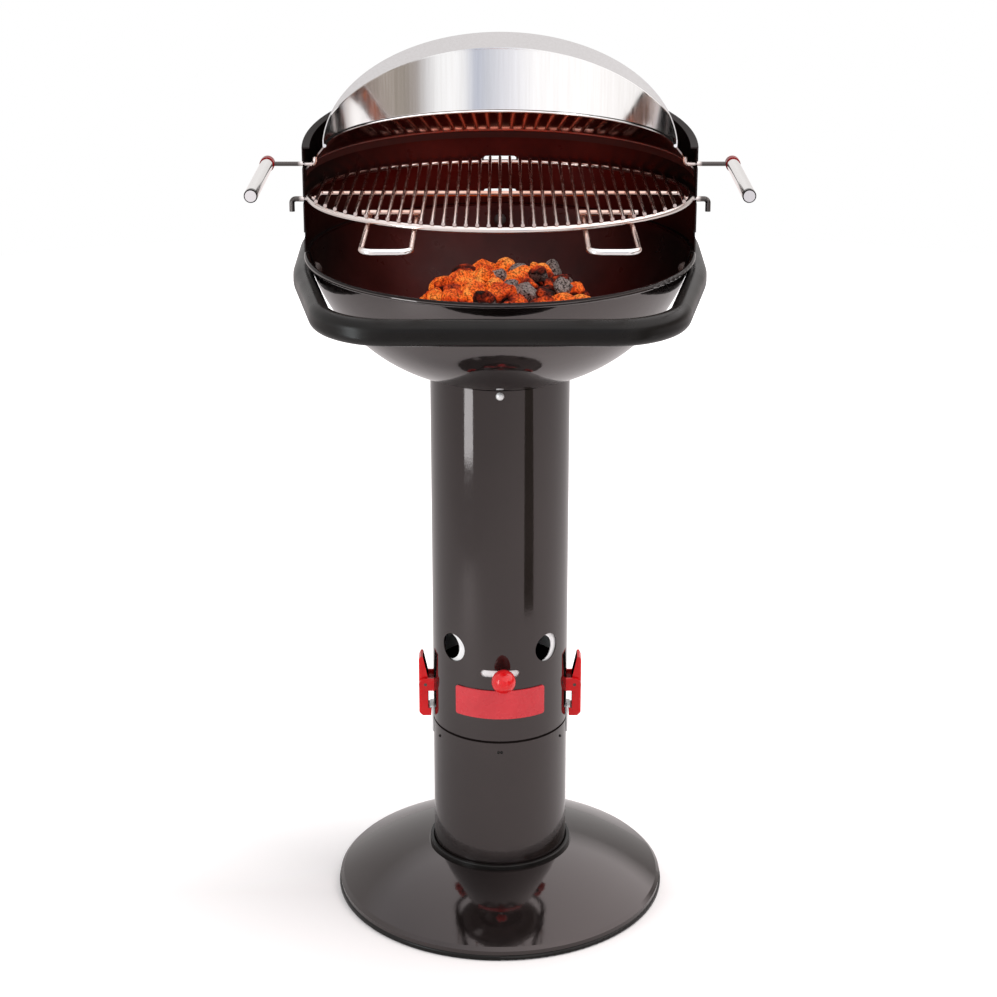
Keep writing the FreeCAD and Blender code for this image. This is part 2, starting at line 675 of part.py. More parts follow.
def screen_wall():
    flange_top = below_slope(SCREEN_SIDE_TOP_Z, SCREEN_TOP_SLOPE)
    wall_top = below_slope(SCREEN_SIDE_TOP_Z - SHEET, SCREEN_TOP_SLOPE)
    high = SCREEN_SIDE_TOP_Z + SCREEN_TOP_SLOPE * SCREEN_R + SHEET
    wall = ring(SCREEN_R - SHEET, SCREEN_R, SCREEN_LOW_Z, high).common(flange_top)
    flange = ring(SCREEN_R - SCREEN_FLANGE_W, SCREEN_R, SCREEN_LOW_Z, high).common(flange_top).cut(wall_top)
    return wall, flange


def build_screen():
    wall, top_flange = screen_wall()
    tab_out = BOWL_IN - REST_GAP
    tab_in = tab_out - SHEET
    tab_top = arc_point(tab_out, z=SCREEN_LOW_Z + SHEET)
    foot_flange = ring(tab_top[0] - SHEET, SCREEN_R, SCREEN_LOW_Z, SCREEN_LOW_Z + SHEET)
    screen = wall.fuse([top_flange, foot_flange]).common(behind(-SCREEN_FRONT))
    tab_face = arc_strip(tab_out, tab_in, arc_point(tab_out, z=TAB_LOW_Z), tab_top)
    for azimuth, hoop_r in rim_fixings():
        screen = screen.fuse(spin(tab_face, azimuth - TAB_HALF_ANGLE, 2 * TAB_HALF_ANGLE))
    for azimuth, hoop_r in rim_fixings():
        screen = screen.cut(fixing_hole(azimuth, hoop_r, RIM_BOLT_R + HOLE_CLEARANCE))
    for floor in NOTCH_FLOORS:
        notch = Part.makeBox(BIG, SCREEN_FRONT + NOTCH_BACK + 1, NOTCH_H, Vector(-BIG / 2, -SCREEN_FRONT - 1, floor))
        screen = screen.cut(notch)
    for level in (0, -1):
        screen = screen.cut(rear_slot(REAR_SLOT_Z + level * LEVEL_PITCH))
    save(screen.cut(back_zone(WELD_GAP)).removeSplitter(), "wind_screen")
    save(screen.common(back_zone(0)).removeSplitter(), "screen_back")


def back_zone(margin):
    """The slotted rear panel's share of the screen, with a margin all round."""
    half = BACK_HALF_ANGLE + math.degrees(margin / SCREEN_R)
    return ring(SCREEN_R / 2, SCREEN_R + CUT_OVER, 0, BACK_TOP_Z + margin, 90 - half, 2 * half)


def rear_slot(z):
    half = REAR_SLOT_HALF_W - REAR_SLOT_H / 2
    cut = Part.makeBox(2 * half, SCREEN_R, REAR_SLOT_H, Vector(-half, SCREEN_R / 2, z - REAR_SLOT_H / 2))
    for side in (-1, 1):
        end = Vector(side * half, SCREEN_R / 2, z)
        cut = cut.fuse(Part.makeCylinder(REAR_SLOT_H / 2, SCREEN_R, end, Vector(0, 1, 0)))
    return cut


def build_hood():
    inner = HOOD_R - STEEL_SHEET
    high = HOOD_SIDE_TOP_Z + HOOD_TOP_SLOPE * HOOD_R + STEEL_SHEET
    top = below_slope(HOOD_SIDE_TOP_Z, HOOD_TOP_SLOPE)
    under = below_slope(HOOD_SIDE_TOP_Z - STEEL_SHEET, HOOD_TOP_SLOPE)
    wall = ring(inner, HOOD_R, HOOD_LOW_Z, high).common(top)
    lip = Part.makeCylinder(HOOD_R, high - HOOD_LOW_Z, point(0, HOOD_LOW_Z)).common(top).cut(under)
    lip = lip.cut(Part.makeCylinder(LIP_ARC_R, BIG, Vector(0, LIP_ARC_Y, 0)))
    bead = torus(HOOD_R - HOOD_BEAD_R, HOOD_LOW_Z, HOOD_BEAD_R)
    hood = wall.fuse([lip, bead]).common(behind(HOOD_END_Y))
    save(hood.removeSplitter(), "hood")

    wall_in = SCREEN_R - SHEET - REST_GAP
    seat = HOOD_LOW_Z - HOOD_BEAD_R - WELD_GAP
    rise = seat - SKIRT_LOW_Z
    lean = (wall_in - HOOD_R) / rise
    thick = SHEET * math.sqrt(1 + lean ** 2)
    skirt = outline(
        (wall_in, SKIRT_LOW_Z - SKIRT_FLANGE_H), (wall_in, SKIRT_LOW_Z), (HOOD_R, seat), (HOOD_R - thick, seat),
        (wall_in - SHEET, SKIRT_LOW_Z - lean * SHEET / 2), (wall_in - SHEET, SKIRT_LOW_Z - SKIRT_FLANGE_H))
    save(spin(skirt).common(behind(SKIRT_END_Y)), "hood_skirt")


def hang(shape):
    """Tip a grate piece, built level about z = 0, and lift it to its place in the screen."""
    placed = shape.copy()
    placed.rotate(ORIGIN, Vector(1, 0, 0), -GRATE_TILT)
    placed.translate(point(0, GRATE_Z))
    return placed


def build_grate():
    bar_z = GRATE_WIRE_R + GRATE_BAR_R + WELD_GAP
    count = 2 * int((GRATE_R - GRATE_BAR_EDGE) / GRATE_BAR_PITCH) + 1
    bars = chord_bars(count, GRATE_BAR_PITCH, GRATE_R + GRATE_BAR_OVERHANG, bar_z, GRATE_BAR_R)
    save(hang(torus(GRATE_R, 0, GRATE_WIRE_R)), "grate_ring")
    save(hang(Part.makeCompound(bars)), "grate_bars")

    hook_x = SCREEN_R + HOOK_OUT
    dip_x = CROSS_WIRE_STRAIGHT + CROSS_WIRE_DROP_RUN
    under_bars = -WELD_GAP
    cross = [Vector(-hook_x, 0, CROSS_WIRE_LOW - HOOK_DROP), Vector(-hook_x, 0, CROSS_WIRE_LOW),
             Vector(-dip_x, 0, CROSS_WIRE_LOW), Vector(-CROSS_WIRE_STRAIGHT, 0, under_bars)]
    cross += [Vector(-p.x, 0, p.z) for p in reversed(cross)]
    save(hang(bent_wire(cross, GRATE_WIRE_R, WIRE_BEND)), "grate_cross_wire")

    leg_z = -(2 * GRATE_WIRE_R + WELD_GAP)
    short_z = under_bars
    shorts = []
    for name, side in (("left", -1), ("right", 1)):
        loop = [Vector(side * LOOP_INNER_X, LOOP_BACK_Y, leg_z), Vector(side * LOOP_INNER_X, LOOP_FRONT_Y, leg_z),
                Vector(side * LOOP_OUTER_X, LOOP_FRONT_Y, leg_z), Vector(side * LOOP_OUTER_X, LOOP_BACK_Y, leg_z)]
        save(hang(bent_wire(loop, GRATE_WIRE_R, LOOP_BEND)), "grate_loop_" + name)
        shorts.append(rod(Vector(side * (LOOP_INNER_X - SHORT_WIRE_OVER), SHORT_WIRE_Y, short_z),
                          Vector(side * (LOOP_OUTER_X + SHORT_WIRE_OVER), SHORT_WIRE_Y, short_z), GRATE_WIRE_R))
    save(hang(Part.makeCompound(shorts)), "grate_short_wires")


def build_side_handles():
    """The right handle lies along -Y from the rod's outer end. The left one is its mirror image."""
    tip_x = SCREEN_R - SHEET - ROD_TIP_IN
    grip_x = SCREEN_R + GRIP_OUT
    axis_z = ROD_Z
    rod_points = [Vector(tip_x, 0, axis_z + ROD_TIP_H), Vector(tip_x, 0, axis_z),
                  Vector(grip_x - GRIP_COLLAR_R + ROD_BITE, 0, axis_z)]
    side_rod = bent_wire(rod_points, ROD_R, ROD_BEND)
    back = Vector(grip_x, GRIP_COLLAR_BACK, axis_z)
    forward = Vector(0, -1, 0)
    collar = Part.makeCylinder(GRIP_COLLAR_R, GRIP_COLLAR_L, back, forward)
    collar = collar.makeFillet(GRIP_CHAMFER, [e for e in collar.Edges if isinstance(e.Curve, Part.Circle)])
    socket = rod(rod_points[1], rod_points[2] + Vector(WELD_GAP, 0, 0), ROD_R + WELD_GAP)
    collar = collar.cut(socket)
    grip = Part.makeCylinder(GRIP_R, GRIP_L, back + forward * GRIP_COLLAR_L, forward)
    grip = grip.makeChamfer(GRIP_CHAMFER, [e for e in grip.Edges if isinstance(e.Curve, Part.Circle)])
    mirror = Vector(1, 0, 0)
    for node, piece in (("side_rod", side_rod), ("grip_collar", collar), ("grip", grip)):
        tilted = piece.copy()
        tilted.rotate(point(0, axis_z), Vector(1, 0, 0), -GRIP_TILT)
        save(tilted, node + "_right")
        save(tilted.mirror(ORIGIN, mirror), node + "_left")


def main():
    os.makedirs("parts", exist_ok=True)
    build_foot()
    build_pot()
    build_tube()
    build_damper()
    build_plate()
    build_latches()
    build_bowl()
    build_coal_grate()
    build_coals()
    build_hoop()
    build_screen()
    build_hood()
    build_grate()
    build_side_handles()


main()
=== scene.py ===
import json
import math
import random

import bmesh
import bpy
from mathutils import Matrix, Vector, noise


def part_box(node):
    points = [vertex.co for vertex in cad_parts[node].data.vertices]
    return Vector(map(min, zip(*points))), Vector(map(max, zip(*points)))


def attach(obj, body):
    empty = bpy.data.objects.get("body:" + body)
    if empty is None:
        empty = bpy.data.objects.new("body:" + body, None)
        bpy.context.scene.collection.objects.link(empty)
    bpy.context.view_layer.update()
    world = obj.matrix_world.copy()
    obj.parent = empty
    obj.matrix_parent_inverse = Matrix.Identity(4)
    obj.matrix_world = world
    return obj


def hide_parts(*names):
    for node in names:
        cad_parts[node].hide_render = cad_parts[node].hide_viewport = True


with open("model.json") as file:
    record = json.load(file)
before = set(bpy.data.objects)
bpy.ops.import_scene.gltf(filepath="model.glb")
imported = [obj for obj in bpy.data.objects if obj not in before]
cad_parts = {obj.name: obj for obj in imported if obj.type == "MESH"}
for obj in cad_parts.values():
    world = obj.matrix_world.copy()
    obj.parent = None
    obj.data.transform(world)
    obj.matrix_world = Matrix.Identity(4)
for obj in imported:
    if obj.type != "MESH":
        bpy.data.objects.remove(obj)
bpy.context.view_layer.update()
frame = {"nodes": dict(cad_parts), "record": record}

# Looks of a pedestal charcoal grill: enamel, polished steel, chromed wire, red plastic and glowing charcoal.
# Metres. The frame is the CAD's: +Z up, the column on the Z axis, the cook at -Y.

NODES = frame["nodes"]

# Camera
CAMERA_PLACE = (0.0, -2.595, 1.4827)
CAMERA_DOWN_DEG = 20.733
LENS_MM = 85.96
SENSOR_MM = 36.0
AXIS_SHIFT_PX = 1.5
IMAGE_PX = 997

# Floor. The camera sees it lifted towards white, more so away from the foot and behind it.
FLOOR_R = 3.2
FLOOR_SEGMENTS = 96
FLOOR_TONES = ((0.86, 0.81, 0.80), (0.8514, 0.8019, 0.792))
FLOOR_GRAIN = 3.0
FLOOR_LIFT = 0.10
FLOOR_FAR_LIFT = 0.6
FLOOR_FADE = (0.198, 1.0)
FLOOR_BACK_LIFT = 0.30
FLOOR_BACK = (-0.04, 0.16)

# Studio
WHITE = (1.0, 1.0, 1.0, 1.0)
BLACK = (0.0, 0.0, 0.0, 1.0)
AMBIENT = (0.62, 0.62, 0.63, 1.0)
CEILING_LEFT = (1.25, 1.25, 1.28, 1.0)
CEILING_RIGHT = (2.3, 2.2, 2.2, 1.0)
CEILING_ACROSS = (-0.5, 0.5)
CEILING_EDGE = (0.42, 0.58)
CEILING_TILT = 0.25
GROUND_TONE = (0.95, 0.82, 0.81, 1.0)
GROUND_EDGE = (-0.30, -0.08)
FLAG_W, FLAG_H = 0.24, 0.72
FLAG_REACH = 0.97
FLAG_BEARING_DEG = 46.5
FLAG_TONE = (0.20, 0.18, 0.15, 1.0)
WALL_TONES = (            # bearing from the front, in degrees to the cook's right, and the wall's tone there
    (-180, (0.90, 0.88, 0.87)),
    (-150, (0.80, 0.77, 0.76)),
    (-125, (1.0, 0.98, 0.97)),
    (-60, (1.2, 1.18, 1.18)),
    (-24, (1.15, 1.14, 1.15)),
    (-8, (0.93, 0.93, 0.98)),
    (9, (0.68, 0.70, 0.77)),
    (16, (0.57, 0.60, 0.70)),
    (24, (0.97, 0.97, 0.99)),
    (31, (1.10, 1.10, 1.11)),
    (42, (1.02, 1.02, 1.03)),
    (50, (0.74, 0.73, 0.74)),
    (58, (0.42, 0.38, 0.36)),
    (68, (0.33, 0.29, 0.25)),
    (80, (0.38, 0.33, 0.29)),
    (100, (0.28, 0.23, 0.20)),
    (180, (0.90, 0.88, 0.87)),
)
LAMPS = (                 # name, place, point aimed at, size, watts, colour, whether reflections show it
    ("ceiling_box", (0.9, -0.3, 2.7), (0.0, 0.0, 0.4), (1.8, 1.8), 46.0, (1.0, 1.0, 1.0), False),
    ("left_strip", (-0.94, -0.755, 0.555), (0.0, 0.0, 0.555), (0.31, 0.79), 4.9, (0.93, 1.0, 1.02), True),
    ("right_box", (1.7, -0.9, 2.0), (0.0, 0.0, 0.6), (0.5, 1.0), 8.0, (1.0, 1.0, 1.0), False),
)
EMBER_LAMP_LIFT = 0.006
EMBER_LAMP_SIZE = (0.20, 0.20)
EMBER_LAMP_WATTS = 1.6
EMBER_LAMP_COLOUR = (1.0, 0.09, 0.03)

# Heap of charcoal
COAL_SEED = 11
COAL_COUNT = 76
COAL_HALF = (0.0115, 0.0190)
COAL_SHAPE = ((0.95, 1.25), (0.85, 1.1), (0.75, 1.0))
COAL_SUBDIVISIONS = 3
COAL_FACETS = 9
COAL_FACET_REACH = (0.55, 0.88)
COAL_ROUGH = ((3.0, 0.07), (9.0, 0.035))    # scale of a noise and its height, for a lump of radius 1
COAL_NOISE_REACH = 50
COAL_LAYER = 0.021
COAL_DROP = 0.013
COAL_SINK = 0.75
COAL_CROWN_R = 0.230
COAL_TOP_SHARE = 0.52
COAL_HEATS = (-0.15, 0.38, 0.56, 0.70, 0.80, 0.90)
COAL_BED_HEAT = (0.10, 0.26)
# Painted shade on the lower faces of hot lumps: how strong, and the facing below which it starts
COAL_UNDER_SHADE = 0.52
COAL_SHADE_BELOW = 0.50
GOLDEN_ANGLE = math.pi * (3 - math.sqrt(5))

# Rivets on the ash pot
POT_R = 0.080
RIVET_R = 0.0018
RIVET_SUBDIVISIONS = 2
RIVET_DROP = 0.0145
RIVET_BEARINGS_DEG = (-63.7, -1.3, 1.3, 63.7)

# Where one look passes into another: by the distance from the middle,
SCREEN_SIDE = (0.11, 0.20)
SCREEN_OUT = (0.2195, 0.2240)
# next: the skirt's painted red glow of the embers
SKIRT_GLOW_SPAN = (0.05, 0.16)
HOOD_ENDS = (0.09, 0.15)
# by the distance from the column's axis,
NECK_SHADE = (0.086, 0.106)
WIRE_FADE = (0.13, 0.245)
BAR_FADE = (0.15, 0.26)
# and by how far a face looks out, up or back
OUTSIDE = (-0.15, 0.05)
# next: the levers' painted shade on their faces towards the column
INNER_SHADE_SPAN = (-0.5, -0.3)
RIM_TOP = (0.3, 0.5)
# next: the hood lip's painted shade
HOOD_LIP = (0.6, 0.8)
GRIP_END = (-0.95, -0.85)

# Small measures of the looks
LOOP_BEND = 0.006
# The loops' share of heat tint and painted red glow of the embers
LOOP_TINT_AND_GLOW = 0.7
LEFT_LEAN, RIGHT_LEAN = 0.42, 0.95
RING_W, RING_EDGE = 0.007, 0.001
SKIRT_FLANGE_H = 0.008
SKIRT_FLANGE_FADE = 0.003
SEAM_SHADE_H = 0.0028
SEAM_EDGE = 0.0002
SMOOTH_ANGLE = math.radians(32)

# Tones: a dark and a light one, or stops along a value
ENAMEL_TONES = ((0.0065, 0.0045, 0.0043), (0.012, 0.0088, 0.0084))
# The red of these tones is partly a painted red glow of the embers
SOOT_AND_GLOW_TONES = ((0.020, 0.0032, 0.0027), (0.042, 0.0068, 0.0056))
SIDE_SOOT_TONES = ((0.0042, 0.0024, 0.0021), (0.0075, 0.0044, 0.0038))
PLASTIC_TONES = ((0.012, 0.012, 0.012), (0.022, 0.021, 0.020))
MATT_TONES = ((0.0040, 0.0034, 0.0030), (0.0075, 0.0064, 0.0058))
POLISHED_TONES = ((0.84, 0.825, 0.815), (0.90, 0.89, 0.885))
SKIRT_TONES = ((0.36, 0.32, 0.31), (0.44, 0.39, 0.37))
ZINC_TONES = ((0.80, 0.79, 0.79), (0.88, 0.87, 0.87))
RED_TONES = ((0.66, 0.005, 0.008), (0.78, 0.008, 0.012))
PLATE_TONES = ((0.58, 0.020, 0.030), (0.68, 0.028, 0.040))
# Stops of the wire's heat tint, which is partly a painted red glow of the embers
WIRE_TINT_AND_GLOW_STOPS = ((0.0, (0.80, 0.78, 0.77)), (0.5, (0.60, 0.43, 0.37)), (1.0, (0.54, 0.30, 0.23)))
FIRE_STEEL_STOPS = ((0.3, (0.05, 0.045, 0.043)), (0.55, (0.12, 0.10, 0.095)), (0.75, (0.10, 0.045, 0.025)))
ASH_STOPS = ((0.02, (0.34, 0.28, 0.26)), (0.14, (0.02, 0.012, 0.010)))
GLOW_STOPS = (
    (0.20, (0.0, 0.0, 0.0)),
    (0.36, (0.13, 0.008, 0.002)),
    (0.56, (0.66, 0.058, 0.006)),
    (0.78, (0.95, 0.155, 0.016)),
    (1.0, (1.0, 0.30, 0.05)),
)
# Warm tints on the enamel's reflections: a painted warmth that stands in for the warm floor they reflect
ENAMEL_TINT = (1.0, 0.89, 0.88, 1.0)
FIRED_TINT = (1.0, 0.90, 0.89, 1.0)
RING_TONE = (0.010, 0.008, 0.008, 1.0)
# The skirt's painted red glow of the embers, and the tone of its dark lower flange
SKIRT_GLOW_TONE = (0.70, 0.28, 0.20, 1.0)
SKIRT_FLANGE_TONE = (0.02, 0.007, 0.006, 1.0)
# Painted shade on the wire outside the screen
WIRE_END_SHADE_TONE = (0.09, 0.082, 0.078, 1.0)
# Painted shade on the levers' faces towards the column
INNER_SHADE_TONE = (0.004, 0.003, 0.003, 1.0)
CHAR_TONE = (0.006, 0.004, 0.004, 1.0)

# Grains: features to a metre, then the detail and the stretch along the axes where they aren't the usual
ENAMEL_GRAIN = (7.0,)
SOOT_GRAIN = (14.0, 5.0)
PLASTIC_GRAIN = (40.0,)
MATT_GRAIN = (12.0,)
STREAKS = (9.0, 4.0, (30.0, 30.0, 1.0))
FIRE_STEEL_GRAIN = (60.0, 6.0)
RED_GRAIN = (35.0,)
PLATE_GRAIN = (30.0,)
COAL_PATCHES = (70.0, 2.0)
COAL_PATCH_HEAT = (-0.28, 0.24)
CRUST_GRAIN = (430.0, 3.0)
CRUST_CLEAR = (0.40, 0.55)
CRUST_SHADE = 0.80
SPANGLE_SCALE = 160.0
SPANGLE_SPAN = (0.0, 0.8)
NOISE_SPAN = (0.3, 0.7)

# Uneven values: features to a metre, the least and the most
ENAMEL_ROUGH = (55.0, 0.05, 0.10)
SOOT_ROUGH = (40.0, 0.26, 0.40)
PLASTIC_ROUGH = (90.0, 0.2, 0.34)
MATT_ROUGH = (30.0, 0.26, 0.34)
WIRE_ROUGH = (120.0, 0.10, 0.24)
WIRE_PATCHES = (26.0, 0.6, 1.0)
FIRE_STEEL_ROUGH = (150.0, 0.5, 0.8)
RED_ROUGH = (80.0, 0.12, 0.22)
PLATE_ROUGH = (70.0, 0.22, 0.34)

# Bumps: features to a metre, detail, strength and depth
ENAMEL_BUMPS = (420.0, 1.0, 0.04, 0.0004)
PLASTIC_BUMPS = (900.0, 3.0, 0.08, 0.0003)
MATT_BUMPS = (1400.0, 2.0, 0.08, 0.0003)
POLISHED_BUMPS = (500.0, 1.0, 0.01, 0.0003)
WIRE_BUMPS = (700.0, 3.0, 0.06, 0.0003)
FIRE_STEEL_BUMPS = (800.0, 4.0, 0.3, 0.0004)
RED_BUMPS = (600.0, 1.0, 0.03, 0.0003)
PLATE_BUMPS = (500.0, 1.0, 0.04, 0.0003)
CRUST_BUMP = (0.7, 0.002)        # strength and depth on the crust's own grain

# Gloss
ENAMEL_IOR = 1.62
ENAMEL_SHINE = 0.5
FIRED_ROUGH = 0.07
SIDE_SHEEN = 0.25
RIM_SHINE = 0.1
POLISHED_ROUGH = (0.06, 0.13)
SKIRT_ROUGH = (0.45, 0.10)
ZINC_ROUGH = (0.28, 0.42)

# Sockets of the mix node for colours
MIX_SHARE, MIX_FIRST, MIX_SECOND = 0, 6, 7
MIX_COLOUR = 2


# Node helpers

def feed(tree, socket, value):
    """Link a socket to another node's output, or set it to a value."""
    if isinstance(value, bpy.types.NodeSocket):
        tree.links.new(value, socket)
    else:
        socket.default_value = value


def add_node(tree, kind, inputs=None, **settings):
    """New shader node with settings, and with inputs that are values or other nodes' outputs."""
    made = tree.nodes.new(kind)
    for key, value in settings.items():
        setattr(made, key, value)
    for key, value in (inputs or {}).items():
        feed(tree, made.inputs[key], value)
    return made


def bare_tree(block):
    """Node tree of a material or a world, emptied."""
    block.use_nodes = True
    block.node_tree.nodes.clear()
    return block.node_tree


def new_material(name):
    """New material with a principled shader alone. Returns the material, its tree and the shader."""
    material = bpy.data.materials.new(name)
    tree = bare_tree(material)
    shader = add_node(tree, "ShaderNodeBsdfPrincipled")
    add_node(tree, "ShaderNodeOutputMaterial", {"Surface": shader.outputs["BSDF"]})
    return material, tree, shader


def set_shader(tree, shader, **inputs):
    """Set or link the principled shader's sockets by name, with _ for a blank."""
    for key, value in inputs.items():
        feed(tree, shader.inputs[key.replace("_", " ")], value)


def math_node(tree, operation, *values):
    return add_node(tree, "ShaderNodeMath", dict(enumerate(values)), operation=operation).outputs["Value"]


def vector_math(tree, operation, *vectors):
    """Outputs of a vector maths node: Vector, and Value for a length or a dot product."""
    return add_node(tree, "ShaderNodeVectorMath", dict(enumerate(vectors)), operation=operation).outputs


def place(tree, stretch=(1.0, 1.0, 1.0)):
    """Object coordinates in metres, stretched along the axes."""
    coords = add_node(tree, "ShaderNodeTexCoord").outputs["Object"]
    return add_node(tree, "ShaderNodeMapping", {"Vector": coords, "Scale": stretch}).outputs["Vector"]


def along(tree, axis):
    """Place along one axis, in metres."""
    return add_node(tree, "ShaderNodeSeparateXYZ", {"Vector": place(tree)}).outputs[axis]


def aside(tree):
    """Distance to the left or right of the middle, in metres."""
    return math_node(tree, "ABSOLUTE", along(tree, "X"))


def axis_reach(tree):
    """Distance from the column's axis, in metres."""
    return vector_math(tree, "LENGTH", place(tree, (1.0, 1.0, 0.0)))["Value"]


def face_way(tree):
    """Direction that a face looks in."""
    return add_node(tree, "ShaderNodeTexCoord").outputs["Normal"]


def facing(tree, axis):
    """How far a face looks along one axis, from -1 to 1."""
    return add_node(tree, "ShaderNodeSeparateXYZ", {"Vector": face_way(tree)}).outputs[axis]


def outward(tree):
    """How far a face looks away from the column's axis, from -1 to 1."""
    way = vector_math(tree, "NORMALIZE", place(tree, (1.0, 1.0, 0.0)))["Vector"]
    return vector_math(tree, "DOT_PRODUCT", way, face_way(tree))["Value"]


def grain(tree, scale, detail=3.0, stretch=(1.0, 1.0, 1.0), rough=0.55):
    """Noise from 0 to 1 with features of about 1 / scale metres."""
    inputs = {"Vector": place(tree, stretch), "Scale": scale, "Detail": detail, "Roughness": rough}
    return add_node(tree, "ShaderNodeTexNoise", inputs).outputs["Fac"]


def spread(tree, value, low, high, from_low=NOISE_SPAN[0], from_high=NOISE_SPAN[1]):
    """Map a value's span, a noise's where none is given, onto a range."""
    inputs = {"Value": value, "From Min": from_low, "From Max": from_high, "To Min": low, "To Max": high}
    return add_node(tree, "ShaderNodeMapRange", inputs).outputs["Result"]


def blend(tree, share, first, second):
    """Number between two others, by a share from 0 to 1."""
    return spread(tree, share, first, second, 0.0, 1.0)


def uneven(tree, scale, low, high):
    """Number that a noise moves between two others."""
    return spread(tree, grain(tree, scale), low, high)


def bump(tree, height, strength, depth):
    inputs = {"Height": height, "Strength": strength, "Distance": depth}
    return add_node(tree, "ShaderNodeBump", inputs).outputs["Normal"]


def bumps(tree, scale, detail, strength, depth):
    """Normal with the bumps of a noise."""
    return bump(tree, grain(tree, scale, detail), strength, depth)


def ramp(tree, value, *stops):
    """Colours along a value, each stop being a place from 0 to 1 and a colour."""
    made = add_node(tree, "ShaderNodeValToRGB", {"Fac": value})
    line = made.color_ramp
    while len(line.elements) < len(stops):
        line.elements.new(0.5)
    for element, (where, colour) in zip(line.elements, stops):
        element.position = where
        element.color = (*colour, 1.0)
    return made.outputs["Color"]


def two_tone(tree, value, tones):
    """Colour that a noise moves between two tones."""
    return ramp(tree, value, *zip(NOISE_SPAN, tones))


def mix(tree, share, first, second):
    """Colour mix of two colours or sockets."""
    inputs = {MIX_SHARE: share, MIX_FIRST: first, MIX_SECOND: second}
    return add_node(tree, "ShaderNodeMix", inputs, data_type="RGBA").outputs[MIX_COLOUR]


# Materials

def plain_look(name, tone_grain, tones, rough, relief, **settings):
    """Surface with an uneven tone, roughness and relief, and the shader's other sockets by name."""
    material, tree, shader = new_material(name)
    set_shader(tree, shader, Base_Color=two_tone(tree, grain(tree, *tone_grain), tones),
               Roughness=uneven(tree, *rough), Normal=bumps(tree, *relief), **settings)
    return material


def black_enamel(name="black_enamel", edge_z=None):
    """Glossy enamel. Above an edge's height, where one is given, it doesn't shine and so looks dark: a
    painted shade in the seam.
    """
    material, tree, shader = new_material(name)
    shine = ENAMEL_SHINE
    if edge_z is not None:
        # Painted shade: no shine above the edge.
        shine = spread(tree, along(tree, "Z"), ENAMEL_SHINE, 0.0, edge_z - SEAM_EDGE, edge_z)
    set_shader(tree, shader, Base_Color=two_tone(tree, grain(tree, *ENAMEL_GRAIN), ENAMEL_TONES),
               Roughness=uneven(tree, *ENAMEL_ROUGH), Normal=bumps(tree, *ENAMEL_BUMPS), IOR=ENAMEL_IOR,
               Specular_IOR_Level=shine, Specular_Tint=ENAMEL_TINT)
    return material


def fired_enamel(name, sheen, gloss, rust=1.0):
    """Enamel that is glossy outside, and dull and sooty where it faces the fire: red-brown behind it, partly
    a painted red glow of the embers that the rust argument strengthens, and black beside it. The outside has
    a painted shade in the crease where it meets the column, and hardly shines where it looks up."""
    material, tree, shader = new_material(name)
    outside = spread(tree, outward(tree), 0.0, 1.0, *OUTSIDE)
    beside = spread(tree, aside(tree), 0.0, 1.0, *SCREEN_SIDE)
    sooty = grain(tree, *SOOT_GRAIN)
    # rust strengthens the painted red glow of the embers; it is no rust.
    glowing_soot_tones = [(red * rust, green, blue) for red, green, blue in SOOT_AND_GLOW_TONES]
    soot_and_glow = mix(tree, beside, two_tone(tree, sooty, glowing_soot_tones), two_tone(tree, sooty, SIDE_SOOT_TONES))
    paint = two_tone(tree, grain(tree, *ENAMEL_GRAIN), ENAMEL_TONES)
    inner_shine = blend(tree, beside, sheen, sheen * SIDE_SHEEN)
    # Painted shade: the outside loses its shine in the crease at the column.
    outer_shine = spread(tree, axis_reach(tree), 0.0, gloss, *NECK_SHADE)
    rim_shine = spread(tree, facing(tree, "Z"), 1.0, RIM_SHINE, *RIM_TOP)
    outer_shine = math_node(tree, "MULTIPLY", outer_shine, rim_shine)
    set_shader(tree, shader, Base_Color=mix(tree, outside, soot_and_glow, paint), IOR=ENAMEL_IOR,
               Roughness=blend(tree, outside, uneven(tree, *SOOT_ROUGH), FIRED_ROUGH),
               Specular_IOR_Level=blend(tree, outside, inner_shine, outer_shine),
               Normal=bumps(tree, *ENAMEL_BUMPS), Specular_Tint=FIRED_TINT)
    return material


def leaned(tree, normal, lean):
    """Normal tipped upwards, as on a flared sheet, and more so at the hood's two ends."""
    across = along(tree, "X")
    left_tip = spread(tree, across, LEFT_LEAN * lean, 0.0, -HOOD_ENDS[1], -HOOD_ENDS[0])
    right_tip = spread(tree, across, 0.0, RIGHT_LEAN * lean, *HOOD_ENDS)
    tip = math_node(tree, "ADD", math_node(tree, "ADD", left_tip, right_tip), lean)
    tip = add_node(tree, "ShaderNodeCombineXYZ", {"Z": tip}).outputs["Vector"]
    tipped = vector_math(tree, "ADD", normal, tip)["Vector"]
    return vector_math(tree, "NORMALIZE", tipped)["Vector"]


